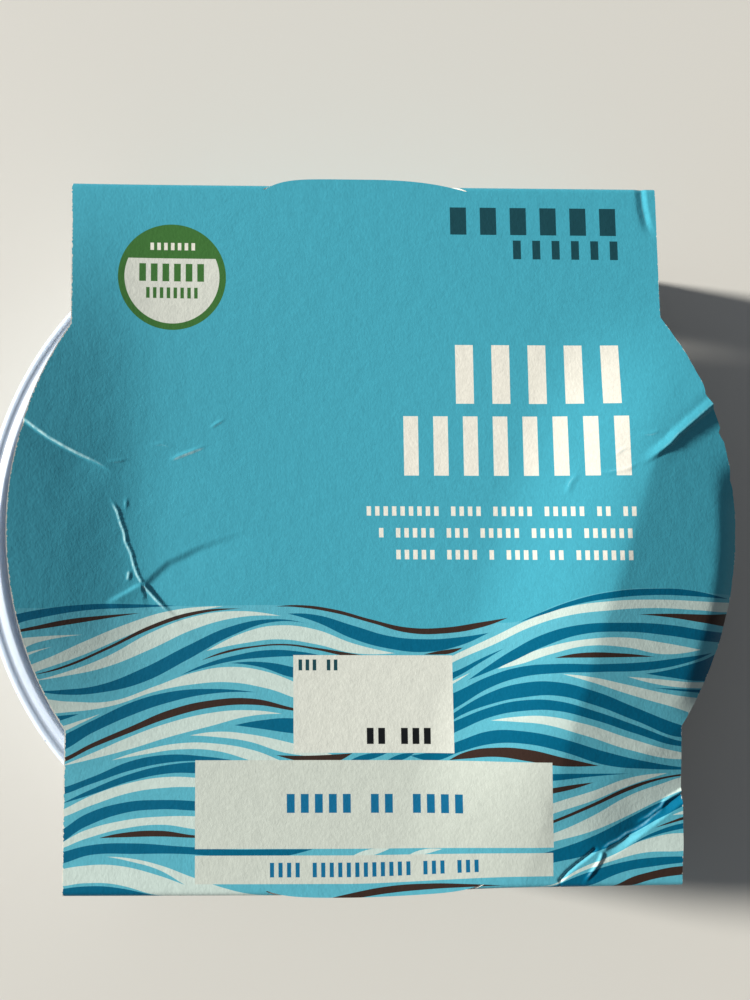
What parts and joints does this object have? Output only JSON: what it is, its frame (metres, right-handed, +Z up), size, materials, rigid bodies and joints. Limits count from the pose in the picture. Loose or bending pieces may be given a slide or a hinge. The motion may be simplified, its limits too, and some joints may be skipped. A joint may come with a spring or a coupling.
{
  "type": "sleeved deli tub",
  "caption": "Round shut deli tub with a press-on lid, in a folded carton-board sleeve with round side flaps, a wave print and creases from handling.",
  "frame": {"origin": "middle of the sleeve's base, on the surface the pack stands on", "axes": "+Z up through the lid, +Y to the top edge of the print, +X to the right of the print, along the sleeve's open ends"},
  "size_m": [0.1259, 0.1194, 0.0393],
  "materials": {
    "printed_board": "printed and varnished one side, satin, raw white cut edges",
    "lid_plastic": "moulded, white, softly glossy",
    "tub_plastic": "moulded, white, softly glossy"
  },
  "bodies": {
    "root": {"sleeve": "printed_board", "lid": "lid_plastic", "tub": "tub_plastic"}
  },
  "joints": []
}
